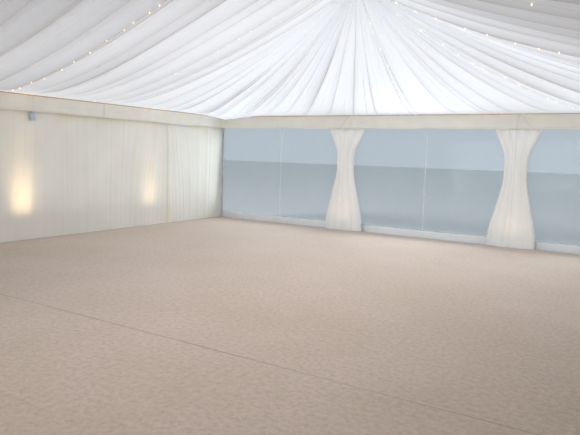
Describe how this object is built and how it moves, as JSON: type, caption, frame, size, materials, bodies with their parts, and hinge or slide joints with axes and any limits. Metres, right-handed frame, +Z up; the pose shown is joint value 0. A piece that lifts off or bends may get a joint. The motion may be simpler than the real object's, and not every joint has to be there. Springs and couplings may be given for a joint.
{
  "type": "marquee tent",
  "caption": "Hip-ended frame marquee with a pleated roof lining, clear end walls, curtained sides, tied leg drapes and a carpeted floor, open in its front middle bay.",
  "frame": {"origin": "on the ground, in the middle of the plan", "axes": "+Z up, +Y along the ridge towards the clear back wall, +X to the right as seen from the open front bay"},
  "size_m": [9.36, 12.36, 3.9542],
  "materials": {
    "frame_aluminium": "satin mill finish",
    "cover_pvc": "white coated polyester, slight sheen",
    "clear_pvc": "clear flexible sheet, glossy, faintly rippled",
    "lining_cloth": "white matte cloth in fine pleats",
    "ivory_cloth": "ivory matte cloth, gathered, with an orange-brown edging on the pelmet",
    "floor_boards": "plywood deck on joists",
    "carpet": "matte needle-punch carpet, beige",
    "grey_plastic": "matte grey"
  },
  "bodies": {
    "root": {"portal_frame_back": "frame_aluminium", "portal_frame_middle": "frame_aluminium", "portal_frame_front": "frame_aluminium", "ridge_beam": "frame_aluminium", "hip_rafters_back": "frame_aluminium", "hip_rafters_front": "frame_aluminium", "corner_leg_back_left": "frame_aluminium", "corner_leg_back_right": "frame_aluminium", "corner_leg_front_left": "frame_aluminium", "corner_leg_front_right": "frame_aluminium", "end_leg_back_left": "frame_aluminium", "end_leg_back_right": "frame_aluminium", "end_leg_front_left": "frame_aluminium", "end_leg_front_right": "frame_aluminium", "eave_rail_left": "frame_aluminium", "eave_rail_right": "frame_aluminium", "eave_rail_back": "frame_aluminium", "eave_rail_front": "frame_aluminium", "lining_ridge_rail": "frame_aluminium", "roof_cover_left": "cover_pvc", "roof_cover_right": "cover_pvc", "roof_cover_back": "cover_pvc", "roof_cover_front": "cover_pvc", "outer_wall_left": "cover_pvc", "outer_wall_right": "cover_pvc", "back_wall": "cover_pvc", "front_wall_left": "cover_pvc", "front_wall_right": "cover_pvc", "window_back_left": "clear_pvc", "window_back_middle": "clear_pvc", "window_back_right": "clear_pvc", "window_front_left": "clear_pvc", "window_front_right": "clear_pvc", "roof_lining_left": "lining_cloth", "roof_lining_right": "lining_cloth", "roof_lining_back": "lining_cloth", "roof_lining_front": "lining_cloth", "pelmet_left": "ivory_cloth", "pelmet_right": "ivory_cloth", "pelmet_back": "ivory_cloth", "pelmet_front": "ivory_cloth", "wall_lining_left": "ivory_cloth", "wall_lining_right": "ivory_cloth", "leg_drape_back_left": "ivory_cloth", "leg_drape_back_right": "ivory_cloth", "leg_drape_front_left": "ivory_cloth", "leg_drape_front_right": "ivory_cloth", "floor_deck": "floor_boards", "carpet_back": "carpet", "carpet_front": "carpet", "light_control_box": "grey_plastic"}
  },
  "joints": []
}
